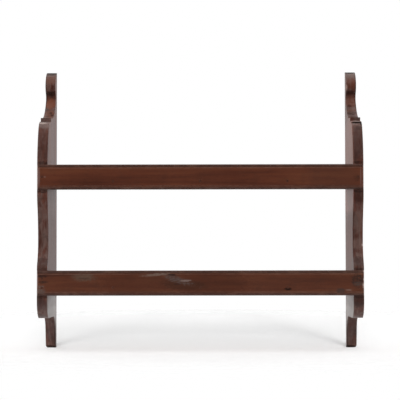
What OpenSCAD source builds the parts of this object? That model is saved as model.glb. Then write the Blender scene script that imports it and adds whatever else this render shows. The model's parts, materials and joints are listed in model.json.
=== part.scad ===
// Hanging wall shelf: two shaped sides, two housed shelves, two beaded front rails.
// Millimetres. The wall is the plane y = 0, the front looks along -Y and Z is up.
// The origin lies on the wall, midway between the two hanging holes.
// Inside the modules heights are counted from the toes, and depths from the wall.

/* [Overall] */
// Width over the two sides
shelf_w = 600; // [420:5:900]
// Depth of the sides from the wall to their front edges
side_d = 160; // [144:1:220]
// Thickness of each side
side_t = 19; // [17:0.5:25]
// Clear height between the two rails
bay_h = 149; // [110:1:260]

/* [Neck] */
// Height of each neck above the shoulder ledge
neck_rise = 97.5; // [84:0.5:120]
// Radius of the rounded top of each neck
lobe_r = 37; // [33:1:42]
// How far behind the back edge that round has its centre
lobe_back = 5; // [0:0.5:8]
// Angle above level at which the rounded top turns into the nose
nose_turn = 24; // [10:1:32]
// Radius of the nose
nose_r = 17.5; // [12:0.5:21]
// Depth of the neck at its narrowest
neck_d = 19; // [16:0.5:22]
// Radius of the hollow at the narrowest place
neck_r = 12; // [8:0.5:16]
// Radius of the sweep from the neck out to the shoulder
sweep_r = 88; // [70:1:104]

/* [Shoulder] */
// Height of the shoulder ledge above the upper rail
shoulder_rise = 91; // [70:1:160]
// Width of the flat at the foot of the square step
step_w = 10; // [4:0.5:14]
// Height of the square step
step_h = 8; // [4:0.5:12]
// Radius of the round below the step
ovolo_r = 31; // [20:0.5:36]
// Depth from that round's centre out to the front edge
swell_d = 45; // [39:0.5:50]

/* [Waist and foot] */
// How far the waist between the rails curves in
waist_in = 18; // [8:1:30]
// Height of the narrowest place of the waist above the lower rail
waist_rise = 55; // [30:1:80]
// Part of the waist's upper curve that is convex
waist_round_up = 0.3; // [0.1:0.05:0.6]
// Part of the waist's lower curve that is convex
waist_round_low = 0.2; // [0.1:0.05:0.6]
// Straight land between each rail and the waist curve
waist_land = 3; // [1:0.5:10]
// Height from the bottom edge of a side up to the lower rail
skirt_h = 42.5; // [40:0.5:80]
// Height of the bottom edge above the toes
foot_h = 62; // [50:1:80]
// Radius of the front bottom corner
corner_r = 34; // [10:1:38]
// Radius of the cove between the bottom edge and the foot
cove_r = 31; // [10:1:40]
// Depth of each foot below its cove
foot_d = 20; // [17:0.5:30]
// Depth of each foot at the toe
toe_d = 14; // [12:0.5:17]
// Radius of the worn corners of the toe
toe_r = 5; // [1:0.5:8]

/* [Rails] */
// Height of each front rail
rail_h = 46; // [40:0.5:50]
// Thickness of each front rail
rail_t = 14; // [12:0.5:18]
// How far the rails stand in front of the sides
rail_proud = 3; // [1:0.5:5]
// Radius of the upright corners at the rail ends
rail_end_r = 4; // [1:0.5:6]
// Width of the bead along both long edges
bead_w = 5.5; // [3:0.5:7]
// Width of the groove beside each bead
quirk_w = 1.2; // [0.8:0.1:2.5]
// Depth of the groove beside each bead
quirk_depth = 1; // [0.5:0.1:3]

/* [Shelves] */
// Thickness of each shelf
shelf_t = 14; // [11:0.5:18]
// Underside of a shelf above the underside of its rail
shelf_lift = 8; // [6:0.5:12]
// Depth of the housings in the sides
housing_depth = 6; // [4:0.5:7]

/* [Nails] */
// Length of the rail nails
nail_len = 36; // [28:1:50]
// Radius of the nail shanks
nail_r = 1.1; // [0.8:0.1:1.5]
// Radius of the nail heads
nail_head_r = 2.3; // [1.8:0.1:3]
// Thickness of the nail heads
nail_head_t = 1; // [0.6:0.1:1.5]
// Thickness of the stopping over each nail head
stopping_t = 1.2; // [0.8:0.1:1.8]
// Height between the two nails at each end of the lower rail
end_nail_pitch = 17; // [14:0.5:22]
// Distance between the nails that hold a rail to its shelf
face_nail_pitch = 160; // [100:5:190]

/* [Hangers] */
// Length of each keyhole plate
plate_len = 48; // [46:1:56]
// Width of each keyhole plate
plate_w = 14; // [12:0.5:15]
// Thickness of each keyhole plate
plate_t = 2; // [1.5:0.1:3]
// Height of the plate's middle above its hanging hole
plate_rise = 3; // [0:0.5:4]
// Distance of the hanging holes below the tops of the necks
hang_drop = 38; // [34:1:42]
// Radius of the hole that goes over the wall screw's head
keyhole_r = 4.5; // [4:0.1:5]
// Half the width of the slot above that hole
slot_r = 2.2; // [1.8:0.1:2.6]
// Height of the slot's end above the hole's centre
slot_rise = 9; // [8:0.5:10]
// Depth of the pocket for the wall screw's head
pocket_depth = 8; // [6:0.5:9]
// Height between the two screws of a plate
screw_pitch = 36; // [34:0.5:40]
// Length of those screws
screw_len = 13; // [10:0.5:15]
// Radius of the screw shanks
screw_r = 1.5; // [1.2:0.1:1.8]
// Radius of the screw heads
screw_head_r = 2.9; // [2.4:0.1:3.4]

/* [Hidden] */

$fn = 48;
// Clearance round nails, screws and plates, and over the shelves in their housings
fit_gap = 0.1;
// How far a cutting shape runs past the face that it cuts
past = 1;
// Greatest distance between an arc of the outline and its chords
chord_error = 0.04;

mahogany = "#5a342b";
shelf_mahogany = "#66402f";
brass = "#b08d4a";
iron = "#4a4542";
stopping_wax = "#3a2a22";

// Where the pieces meet, worked out from the sizes above
inner_x = shelf_w / 2 - side_t;
rail_front = side_d + rail_proud;
rail_back = rail_front - rail_t;
housed_x = inner_x + housing_depth;
lower_rail_z = foot_h + skirt_h;
upper_rail_z = lower_rail_z + rail_h + bay_h;
rail_levels = [upper_rail_z, lower_rail_z];
shoulder_z = upper_rail_z + rail_h + shoulder_rise;
side_h = shoulder_z + neck_rise;
recess_t = stopping_t + nail_head_t;
hanger_x = shelf_w / 2 - side_t / 2;
hang_z = side_h - hang_drop;
plate_z = hang_z + plate_rise;
pocket_r = keyhole_r + 0.5;
countersink_t = screw_head_r - screw_r;

// Points of an arc round c from angle a0 to angle a1, close enough for the chord error
function arc(c, r, a0, a1) =
    let (n = max(2, ceil(abs(a1 - a0) / (2 * acos(1 - chord_error / r)))))
    [for (i = [0:n]) let (a = a0 + (a1 - a0) * i / n) c + r * [cos(a), sin(a)]];

function angle_of(v) = atan2(v[1], v[0]);

// Drops each point that repeats the one before it
function clean(pts) =
    [for (i = [0:len(pts) - 1]) if (i == 0 || norm(pts[i] - pts[i - 1]) > 0.01) pts[i]];

// Neck, from the top down: the rounded top, the nose, the hollow and the sweep.
// Each arc touches the next one, so their centres follow from the radii.
lobe_c = [-lobe_back, side_h - sqrt(pow(lobe_r, 2) - pow(lobe_back, 2))];
lobe_start = acos(lobe_back / lobe_r);
nose_c = lobe_c + (lobe_r - nose_r) * [cos(nose_turn), sin(nose_turn)];
neck_x = neck_d + neck_r;
neck_c = [neck_x, nose_c[1] - sqrt(pow(nose_r + neck_r, 2) - pow(neck_x - nose_c[0], 2))];
sweep_z = shoulder_z + sweep_r;
sweep_c = [neck_x + sqrt(pow(sweep_r - neck_r, 2) - pow(sweep_z - neck_c[1], 2)), sweep_z];
nose_end = angle_of(neck_c - nose_c);
hollow_end = 360 + angle_of(neck_c - sweep_c);

// Depths at the shoulder, from the front edge inwards
ovolo_d = side_d - swell_d;
ledge_d = ovolo_d - step_w;
waist_d = side_d - waist_in;
waist_z = lower_rail_z + rail_h + waist_rise;

// Shoulder: the round under the step runs into a long swell that ends behind the upper rail
ovolo_c = [ovolo_d, shoulder_z - step_h - ovolo_r];
swell_end_z = upper_rail_z + rail_h - rail_end_r;
swell_r = (pow(ovolo_c[1] - swell_end_z, 2) + pow(swell_d, 2) - pow(ovolo_r, 2)) / (2 * (swell_d - ovolo_r));
swell_c = [side_d - swell_r, swell_end_z];
ovolo_end = angle_of(ovolo_c - swell_c);

// One half of the waist, which ends at height z: a convex arc at the front edge, which takes the given
// part of the curve, and a concave arc to the waist. Both are as tall as the half and as deep as the waist.
function waist_half(z, part) =
    let (h = abs(z - waist_z),
         radii = (h * h + waist_in * waist_in) / (2 * waist_in),
         up = z > waist_z ? 1 : -1,
         convex_c = [side_d - radii * part, z],
         concave_c = [waist_d + radii * (1 - part), waist_z],
         turn = asin(h / radii) * up)
    clean(concat(arc(convex_c, radii * part, 0, -turn),
                 arc(concave_c, radii * (1 - part), 180 - turn, 180)));

function backwards(pts) = [for (i = [len(pts) - 1:-1:0]) pts[i]];

corner_c = [side_d - corner_r, foot_h + corner_r];
cove_c = [foot_d + cove_r, foot_h - cove_r];
toe_c = [toe_d - toe_r, toe_r];

// Outline of a side as [depth, height], down the front from the top of the neck to the toe
side_outline = clean(concat(
    [[0, 0]],
    arc(lobe_c, lobe_r, lobe_start, nose_turn),
    arc(nose_c, nose_r, nose_turn, nose_end),
    arc(neck_c, neck_r, nose_end + 180, hollow_end),
    arc(sweep_c, sweep_r, hollow_end, 270),
    [[ledge_d, shoulder_z], [ledge_d, shoulder_z - step_h]],
    arc(ovolo_c, ovolo_r, 90, ovolo_end),
    arc(swell_c, swell_r, ovolo_end, 0),
    waist_half(upper_rail_z - waist_land, waist_round_up),
    backwards(waist_half(lower_rail_z + rail_h + waist_land, waist_round_low)),
    arc(corner_c, corner_r, 0, -90),
    arc(cove_c, cove_r, 90, 180),
    arc(toe_c, toe_r, 0, -90)));

// Moves a shape from heights above the toes to heights from the hanging holes
module hung() {
    translate([0, 0, -hang_z]) children();
}

// Extrudes a [depth, height] shape along X, starting at x
module along_x(x, length) {
    translate([x, 0, 0]) rotate([90, 0, 90]) linear_extrude(length) mirror([1, 0]) children();
}

// Puts a shape that is built up from z = 0 at a depth and a height, pointing into the wood
module driven(x, depth, z) {
    translate([x, -depth, z]) rotate([-90, 0, 0]) children();
}

// Places of the nails of a rail, as [x, height above the rail's underside]
function end_nails(per_end) =
    [for (side = [-1, 1], i = [0:per_end - 1])
        [side * (shelf_w / 2 - side_t / 2), rail_h / 2 + (i - (per_end - 1) / 2) * end_nail_pitch]];
face_nails = [for (i = [-1:1]) [i * face_nail_pitch, shelf_lift + shelf_t / 2]];
upper_end_nails = end_nails(1);
lower_end_nails = end_nails(2);
rail_nails = [[upper_rail_z, concat(upper_end_nails, face_nails)],
              [lower_rail_z, concat(lower_end_nails, face_nails)]];

// Holes that the shanks of a rail's nails leave in whatever lies behind it
module nail_holes(rail) {
    for (p = rail[1])
        driven(p[0], rail_front + past, rail[0] + p[1]) cylinder(r = nail_r + fit_gap, h = nail_len + 3 * past);
}

// Rounds the lower outer corner of a foot, seen from the front
module toe_cutter() {
    translate([-shelf_w / 2, past, 0]) rotate([90, 0, 0]) linear_extrude(toe_d + 2 * past)
        difference() {
            translate([-past, -past]) square(toe_r + past);
            translate([toe_r, toe_r]) circle(toe_r);
        }
}

// Bed for a keyhole plate in the back edge of the left side, with its pocket and its screw holes
module hanger_bed() {
    translate([-hanger_x, 0, 0]) {
        translate([-plate_w / 2 - fit_gap, -plate_t, plate_z - plate_len / 2 - fit_gap])
            cube([plate_w + 2 * fit_gap, plate_t + past, plate_len + 2 * fit_gap]);
        for (z = [hang_z, hang_z + slot_rise - slot_r])
            translate([0, 0, z]) rotate([90, 0, 0]) cylinder(r = pocket_r, h = plate_t + pocket_depth);
        translate([-pocket_r, -plate_t - pocket_depth, hang_z])
            cube([2 * pocket_r, plate_t + pocket_depth, slot_rise - slot_r]);
        for (i = [-1, 1])
            translate([0, past, plate_z + i * screw_pitch / 2]) rotate([90, 0, 0])
                cylinder(r = screw_r + fit_gap, h = screw_len + 2 * past);
    }
}

// Left side: shaped board with rail notches, shelf housings and the hanger's bed
module side_board() {
    difference() {
        along_x(-shelf_w / 2, side_t) polygon(side_outline);
        for (z = rail_levels) {
            translate([-shelf_w / 2 - past, -rail_front - past, z])
                cube([side_t + 2 * past, rail_front + past - rail_back, rail_h]);
            translate([-housed_x, -rail_back - past, z + shelf_lift])
                cube([housing_depth + past, rail_back + 2 * past, shelf_t + fit_gap]);
        }
        for (rail = rail_nails)
            nail_holes(rail);
        toe_cutter();
        hanger_bed();
    }
}

module left_side() {
    color(mahogany) hung() side_board();
}

module right_side() {
    color(mahogany) hung() mirror([1, 0, 0]) side_board();
}

// Shelf board, in its housings at both ends and against the back of its rail
module shelf_board(rail) {
    color(shelf_mahogany) hung() difference() {
        translate([-housed_x + fit_gap, -rail_back, rail[0] + shelf_lift])
            cube([2 * (housed_x - fit_gap), rail_back, shelf_t]);
        nail_holes(rail);
    }
}

// Cross-section of a rail as [depth, height]: a flat field between two beads, each with its groove
module rail_section() {
    translate([rail_back, 0]) square([rail_t - quirk_depth, rail_h]);
    translate([rail_back, bead_w + quirk_w]) square([rail_t, rail_h - 2 * (bead_w + quirk_w)]);
    for (z = [bead_w / 2, rail_h - bead_w / 2])
        translate([rail_front - bead_w / 2, z]) circle(bead_w / 2);
}

// Plan of a rail, with its two front corners rounded
module rail_plan() {
    translate([-shelf_w / 2, -rail_front + rail_end_r]) square([shelf_w, rail_t - rail_end_r]);
    translate([-shelf_w / 2 + rail_end_r, -rail_front]) square([shelf_w - 2 * rail_end_r, rail_t]);
    for (i = [-1, 1])
        translate([i * (shelf_w / 2 - rail_end_r), -rail_front + rail_end_r]) circle(rail_end_r);
}

module rail_board(rail) {
    color(mahogany) hung() difference() {
        translate([0, 0, rail[0]]) intersection() {
            along_x(-shelf_w / 2, shelf_w) rail_section();
            linear_extrude(rail_h) rail_plan();
        }
        nail_holes(rail);
        for (p = rail[1])
            driven(p[0], rail_front + past, rail[0] + p[1])
                cylinder(r = nail_head_r + fit_gap, h = recess_t + past);
    }
}

// Nail with its head at z = 0 and its point up: a flat head, a round shank and a short taper
module nail() {
    point_len = 3 * nail_r;
    rotate_extrude() polygon([
        [0, 0], [nail_head_r, 0], [nail_head_r, nail_head_t], [nail_r, nail_head_t],
        [nail_r, nail_len - point_len], [0, nail_len]]);
}

module rail_nail_set(rail) {
    color(iron) hung() for (p = rail[1])
        driven(p[0], rail_front - stopping_t, rail[0] + p[1]) nail();
}

// Stopping that fills the recess over each nail head, flush with the rail
module rail_stopping_set(rail) {
    color(stopping_wax) hung() for (p = rail[1])
        driven(p[0], rail_front, rail[0] + p[1]) cylinder(r = nail_head_r, h = stopping_t);
}

// Keyhole plate let into the back edge of a side, with two countersunk holes
module hanger_plate(x) {
    end_r = plate_w / 4;
    color(brass) hung() translate([x, 0, 0]) rotate([90, 0, 0]) difference() {
        linear_extrude(plate_t) difference() {
            translate([0, plate_z]) {
                square([plate_w, plate_len - 2 * end_r], center = true);
                square([plate_w - 2 * end_r, plate_len], center = true);
                for (i = [-1, 1], j = [-1, 1])
                    translate([i * (plate_w / 2 - end_r), j * (plate_len / 2 - end_r)]) circle(end_r);
            }
            translate([0, hang_z]) circle(keyhole_r);
            translate([-slot_r, hang_z]) square([2 * slot_r, slot_rise - slot_r]);
            translate([0, hang_z + slot_rise - slot_r]) circle(slot_r);
        }
        for (i = [-1, 1])
            translate([0, plate_z + i * screw_pitch / 2, 0]) {
                translate([0, 0, -past]) cylinder(r = screw_r + fit_gap, h = plate_t + 2 * past);
                translate([0, 0, -fit_gap])
                    cylinder(r1 = screw_head_r + 2 * fit_gap, r2 = screw_r + fit_gap, h = countersink_t + fit_gap);
            }
    }
}

module left_hanger_plate() {
    hanger_plate(-hanger_x);
}

module right_hanger_plate() {
    hanger_plate(hanger_x);
}

// Countersunk wood screw with its slotted head at z = 0 and its point up
module screw() {
    tip_len = 2 * screw_r;
    slot_w = screw_head_r / 4;
    difference() {
        rotate_extrude() polygon([
            [0, 0], [screw_head_r, 0], [screw_r, countersink_t],
            [screw_r, screw_len - tip_len], [0, screw_len]]);
        translate([-slot_w / 2, -screw_head_r, -past]) cube([slot_w, 2 * screw_head_r, past + slot_w]);
    }
}

module hanger_screws() {
    color(brass) hung() for (x = [-hanger_x, hanger_x], i = [-1, 1])
        translate([x, 0, plate_z + i * screw_pitch / 2]) rotate([90, 0, 0]) screw();
}

left_side();
right_side();
shelf_board(rail_nails[0]);  // upper_shelf
shelf_board(rail_nails[1]);  // lower_shelf
rail_board(rail_nails[0]);  // upper_rail
rail_board(rail_nails[1]);  // lower_rail
rail_nail_set(rail_nails[0]);  // upper_rail_nails
rail_nail_set(rail_nails[1]);  // lower_rail_nails
rail_stopping_set(rail_nails[0]);  // upper_rail_stopping
rail_stopping_set(rail_nails[1]);  // lower_rail_stopping
left_hanger_plate();
right_hanger_plate();
hanger_screws();
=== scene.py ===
"""Dressed model of a hanging wall shelf.

Two shaped sides carry two housed shelves, and a beaded rail runs across the front of each shelf. The
boards are old polished mahogany with eased arrises. Metres throughout; sizes in the dataclasses are in
millimetres, with depths counted from the wall and heights from the toes.
"""

import json
import logging
import math
from dataclasses import dataclass, field
from enum import Enum
from typing import Dict, List, Optional, Sequence, Tuple, Union

import bpy
from mathutils import Euler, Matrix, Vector

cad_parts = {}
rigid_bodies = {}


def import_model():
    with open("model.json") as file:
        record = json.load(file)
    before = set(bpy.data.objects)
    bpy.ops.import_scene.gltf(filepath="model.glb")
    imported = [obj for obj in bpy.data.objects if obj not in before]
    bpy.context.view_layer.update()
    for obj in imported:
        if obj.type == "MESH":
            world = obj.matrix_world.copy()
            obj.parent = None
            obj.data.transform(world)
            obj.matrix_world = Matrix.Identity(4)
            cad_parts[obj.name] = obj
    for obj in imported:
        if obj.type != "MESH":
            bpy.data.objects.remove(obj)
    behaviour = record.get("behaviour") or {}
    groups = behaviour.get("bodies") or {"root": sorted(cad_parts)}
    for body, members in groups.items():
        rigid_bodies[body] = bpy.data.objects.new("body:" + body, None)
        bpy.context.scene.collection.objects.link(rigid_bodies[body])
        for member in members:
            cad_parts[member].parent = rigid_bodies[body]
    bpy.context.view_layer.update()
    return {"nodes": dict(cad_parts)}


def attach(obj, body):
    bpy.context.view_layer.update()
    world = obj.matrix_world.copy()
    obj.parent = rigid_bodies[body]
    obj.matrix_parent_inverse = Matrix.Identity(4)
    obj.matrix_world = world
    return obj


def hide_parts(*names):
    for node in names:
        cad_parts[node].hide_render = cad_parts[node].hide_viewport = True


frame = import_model()

LOG = logging.getLogger("wall_shelf")
MM = 0.001
# Angles, in radians: of faces that count as flat, of arrises that are eased, of edges that stay crisp
FLAT_ANGLE = 0.002
SHARP_ANGLE = math.radians(35)
CREASE_ANGLE = math.radians(40)
# Lengths below which points are one, in millimetres: after a saw cut, along a stroke and round an outline
SAW_DUST = 0.002
SHORTEST_STROKE = 0.01
OUTLINE_GAP = 0.02
Colour = Tuple[float, float, float]
Point2 = Tuple[float, float]
Number = Union[int, float]


# Bench work


class Axis(Enum):
    """Direction that the grain of a board runs in."""

    X = 0
    Z = 2


@dataclass(frozen=True)
class Sheet:
    """A flat sheet in space on which an outline is drawn.

    Args:
        origin: Point of the sheet that has the drawing's coordinates (0, 0), in metres.
        across: Unit vector of the drawing's first coordinate.
        up: Unit vector of the drawing's second coordinate.
    """

    origin: Vector
    across: Vector
    up: Vector

    def place(self, point: Point2) -> Vector:
        """Returns the place in space of a drawn point given in millimetres."""
        return self.origin + self.across * (point[0] * MM) + self.up * (point[1] * MM)

    def normal(self) -> Vector:
        """Returns the axis about which the drawing turns counter-clockwise."""
        return self.across.cross(self.up)


def clear_selection() -> None:
    """Leaves edit mode and deselects every object."""
    if bpy.context.object is not None and bpy.context.object.mode != "OBJECT":
        bpy.ops.object.mode_set(mode="OBJECT")
    bpy.ops.object.select_all(action="DESELECT")


def take_up(piece: bpy.types.Object) -> None:
    """Makes one piece the only selected object and the active one.

    Args:
        piece: The piece.
    """
    clear_selection()
    piece.select_set(True)
    bpy.context.view_layer.objects.active = piece


def open_up(piece: bpy.types.Object) -> None:
    """Takes a piece into edit mode with all of its mesh selected.

    Args:
        piece: The piece.
    """
    take_up(piece)
    bpy.ops.object.mode_set(mode="EDIT")
    bpy.ops.mesh.select_all(action="SELECT")


def close_up() -> None:
    """Turns every face of the open piece outwards and leaves edit mode."""
    bpy.ops.mesh.select_all(action="SELECT")
    bpy.ops.mesh.normals_make_consistent(inside=False)
    bpy.ops.object.mode_set(mode="OBJECT")


def settle(name: str) -> bpy.types.Object:
    """Names the object in hand and puts its place, turn and size in its mesh.

    Args:
        name: Its name, which its mesh gets too.

    Returns:
        The object.
    """
    bpy.ops.object.transform_apply(location=True, rotation=True, scale=True)
    made = bpy.context.object
    made.name = name
    made.data.name = name
    return made


class Pen:
    """Draws a closed outline on a sheet, one edit-mode operator for each stroke."""

    CHORD_ERROR = 0.03

    def __init__(self, name: str, sheet: Sheet, start: Point2) -> None:
        """Puts the pen down.

        Args:
            name: Name of the piece that the outline becomes.
            sheet: Sheet that the outline lies on.
            start: First point, in the sheet's millimetres.
        """
        clear_selection()
        bpy.ops.mesh.primitive_plane_add(size=10 * MM, location=(0.0, 0.0, 0.0))
        self.piece = settle(name)
        self.sheet = sheet
        self.start = start
        self.at = start
        bpy.ops.object.mode_set(mode="EDIT")
        bpy.ops.mesh.select_mode(type="VERT")
        bpy.ops.mesh.select_all(action="SELECT")
        bpy.ops.mesh.merge(type="CENTER")
        bpy.ops.transform.translate(value=sheet.place(start))

    def line(self, to: Point2) -> None:
        """Draws a straight stroke to a point.

        Args:
            to: The point, in the sheet's millimetres.
        """
        stroke = self.sheet.place(to) - self.sheet.place(self.at)
        if stroke.length > SHORTEST_STROKE * MM:
            bpy.ops.mesh.extrude_region_move(TRANSFORM_OT_translate={"value": stroke})
        self.at = to

    def arc(self, centre: Point2, radius: float, begin: float, end: float) -> None:
        """Draws an arc that starts where the pen is.

        Args:
            centre: Centre of the arc.
            radius: Its radius.
            begin: Angle at which it starts, in degrees counter-clockwise.
            end: Angle at which it ends.
        """
        step = 2 * math.degrees(math.acos(1 - self.CHORD_ERROR / radius))
        steps = max(2, math.ceil(abs(end - begin) / step))
        self.line(on_circle(centre, radius, begin))
        bpy.ops.mesh.spin(steps=steps, angle=math.radians(begin - end),
                          center=self.sheet.place(centre), axis=self.sheet.normal())
        self.at = on_circle(centre, radius, end)

    def board(self, thickness: float) -> bpy.types.Object:
        """Closes the outline, fills it and pulls it out to a board.

        Args:
            thickness: How far the board reaches along the first axis that the sheet's normal has, in
                millimetres; a negative value goes the other way.

        Returns:
            The piece, in object mode, with its faces pointing outwards.
        """
        self.line(self.start)
        bpy.ops.mesh.select_all(action="SELECT")
        bpy.ops.mesh.remove_doubles(threshold=OUTLINE_GAP * MM)
        bpy.ops.mesh.edge_face_add()
        bpy.ops.mesh.select_all(action="SELECT")
        way = self.sheet.normal() * (thickness * MM)
        bpy.ops.mesh.extrude_region_move(TRANSFORM_OT_translate={"value": way})
        close_up()
        return self.piece


def on_circle(centre: Point2, radius: float, angle: float) -> Point2:
    """Returns the point of a circle at an angle in degrees."""
    turn = math.radians(angle)
    return centre[0] + radius * math.cos(turn), centre[1] + radius * math.sin(turn)


def block(name: str, low: Sequence[float], high: Sequence[float]) -> bpy.types.Object:
    """Adds a rectangular block.

    Args:
        name: Name of the block.
        low: Lowest corner, in millimetres.
        high: Highest corner, in millimetres.

    Returns:
        The block, with its size and place in its mesh.
    """
    clear_selection()
    middle = [(a + b) / 2 * MM for a, b in zip(low, high)]
    size = [(b - a) * MM for a, b in zip(low, high)]
    bpy.ops.mesh.primitive_cube_add(size=1.0, location=middle, scale=size)
    return settle(name)


def peg(name: str, foot: Sequence[float], radius: float, length: float) -> bpy.types.Object:
    """Adds a round peg that lies along Y.

    Args:
        name: Name of the peg.
        foot: Middle of its end that has the lowest Y, in millimetres.
        radius: Its radius.
        length: Its length.

    Returns:
        The peg, with its size and place in its mesh.
    """
    clear_selection()
    middle = (foot[0] * MM, (foot[1] + length / 2) * MM, foot[2] * MM)
    bpy.ops.mesh.primitive_cylinder_add(vertices=32, radius=radius * MM, depth=length * MM,
                                        location=middle, rotation=(math.pi / 2, 0.0, 0.0))
    return settle(name)


def apply_modifier(piece: bpy.types.Object, kind: str, settings: Dict[str, object]) -> None:
    """Adds a modifier to a piece and applies it at once.

    Args:
        piece: The piece.
        kind: Blender's name of the modifier type.
        settings: Its settings.
    """
    take_up(piece)
    modifier = piece.modifiers.new(kind.title(), kind)
    for key, value in settings.items():
        setattr(modifier, key, value)
    bpy.ops.object.modifier_apply(modifier=modifier.name)


def saw(piece: bpy.types.Object, cutter: bpy.types.Object) -> None:
    """Cuts a piece with another one, which is then thrown away.

    Args:
        piece: The piece that is cut, in triangles while the saw works.
        cutter: The piece that cuts.
    """
    for part in (piece, cutter):
        apply_modifier(part, "TRIANGULATE", {"quad_method": "BEAUTY", "ngon_method": "BEAUTY"})
    apply_modifier(piece, "BOOLEAN", {"object": cutter, "operation": "DIFFERENCE", "solver": "EXACT"})
    bpy.data.objects.remove(cutter, do_unlink=True)
    open_up(piece)
    bpy.ops.mesh.remove_doubles(threshold=SAW_DUST * MM)
    bpy.ops.mesh.dissolve_limited(angle_limit=FLAT_ANGLE)
    close_up()


def plane_off(piece: bpy.types.Object, at: Vector, way: Vector) -> None:
    """Planes a piece down to a plane and closes the cut.

    Args:
        piece: The piece.
        at: Point of the plane.
        way: Normal of the plane, on the side that is planed off.
    """
    open_up(piece)
    bpy.ops.mesh.bisect(plane_co=at, plane_no=way, use_fill=True, clear_outer=True)
    bpy.ops.object.mode_set(mode="OBJECT")


def ease_edges(piece: bpy.types.Object, radius: float, segments: int = 4) -> None:
    """Rounds every sharp arris of a piece.

    Args:
        piece: The piece.
        radius: Greatest width of the rounding, in millimetres. Very short edges on the piece leave less
            room and hold all of it to less.
        segments: Number of faces across it.
    """
    apply_modifier(piece, "BEVEL", {
        "width": radius * MM, "segments": segments, "limit_method": "ANGLE",
        "angle_limit": SHARP_ANGLE, "use_clamp_overlap": True})


def note_arrises(piece: bpy.types.Object, thin: float = 0.5) -> None:
    """Marks the vertices that only thin faces meet, as on a rounding, in the attribute "arris".

    Args:
        piece: The piece.
        thin: Area over perimeter, in millimetres, below which a face belongs to a rounding.
    """
    mesh = piece.data
    marks = [1.0] * len(mesh.vertices)
    for face in mesh.polygons:
        corners = [mesh.vertices[i].co for i in face.vertices]
        around = sum((a - b).length for a, b in zip(corners, corners[1:] + corners[:1]))
        if face.area > thin * MM * around:
            for index in face.vertices:
                marks[index] = 0.0
    mesh.attributes.new("arris", "FLOAT", "POINT").data.foreach_set("value", marks)


def smooth(piece: bpy.types.Object) -> None:
    """Shades a piece smooth over its roundings and flat over its faces.

    Args:
        piece: The piece.
    """
    take_up(piece)
    bpy.ops.object.shade_smooth_by_angle(angle=CREASE_ANGLE)
    apply_modifier(piece, "WEIGHTED_NORMAL", {"keep_sharp": True, "weight": 80})


def copy_of(piece: bpy.types.Object, name: str) -> bpy.types.Object:
    """Copies a piece.

    Args:
        piece: The piece.
        name: Name of the copy.

    Returns:
        The copy, with a mesh of its own.
    """
    take_up(piece)
    bpy.ops.object.duplicate()
    made = bpy.context.object
    made.name = name
    made.data.name = name
    return made


def mirrored(piece: bpy.types.Object, name: str) -> bpy.types.Object:
    """Mirrors a piece in the plane X = 0.

    Args:
        piece: The piece, which stays.
        name: Name of its mirror image.

    Returns:
        The mirror image, with its faces pointing outwards.
    """
    made = copy_of(piece, name)
    made.scale.x = -1.0
    open_up(settle(name))
    close_up()
    return made


# Finishes


Operand = Union["Value", Number]


class Value:
    """A node's output that can be used in arithmetic."""

    def __init__(self, bench: "NodeBench", out: bpy.types.NodeSocket) -> None:
        """Wraps one output socket of a bench's tree."""
        self.bench = bench
        self.out = out

    def _math(self, operation: str, first: Operand, second: Operand) -> "Value":
        """Adds one Math node and returns its result."""
        made = self.bench.node("ShaderNodeMath", {"operation": operation}, {0: first, 1: second})
        return Value(self.bench, made.outputs[0])

    def __add__(self, other: Operand) -> "Value":
        """Returns self + other."""
        return self._math("ADD", self, other)

    def __radd__(self, other: Number) -> "Value":
        """Returns other + self."""
        return self._math("ADD", other, self)

    def __sub__(self, other: Operand) -> "Value":
        """Returns self - other."""
        return self._math("SUBTRACT", self, other)

    def __rsub__(self, other: Number) -> "Value":
        """Returns other - self."""
        return self._math("SUBTRACT", other, self)

    def __mul__(self, other: Operand) -> "Value":
        """Returns self * other."""
        return self._math("MULTIPLY", self, other)

    def __rmul__(self, other: Number) -> "Value":
        """Returns other * self."""
        return self._math("MULTIPLY", other, self)

    def __abs__(self) -> "Value":
        """Returns the absolute value."""
        return self._math("ABSOLUTE", self, 0.0)

    def larger(self, other: Operand) -> "Value":
        """Returns the larger of two values."""
        return self._math("MAXIMUM", self, other)

    def between(self, low: float, high: float) -> "Value":
        """Returns a soft step that is 0 at low and 1 at high, whichever is the larger."""
        made = self.bench.node("ShaderNodeMapRange", {"interpolation_type": "SMOOTHSTEP"}, {
            "Value": self, "From Min": low, "From Max": high, "To Min": 0.0, "To Max": 1.0})
        return Value(self.bench, made.outputs["Result"])


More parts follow.
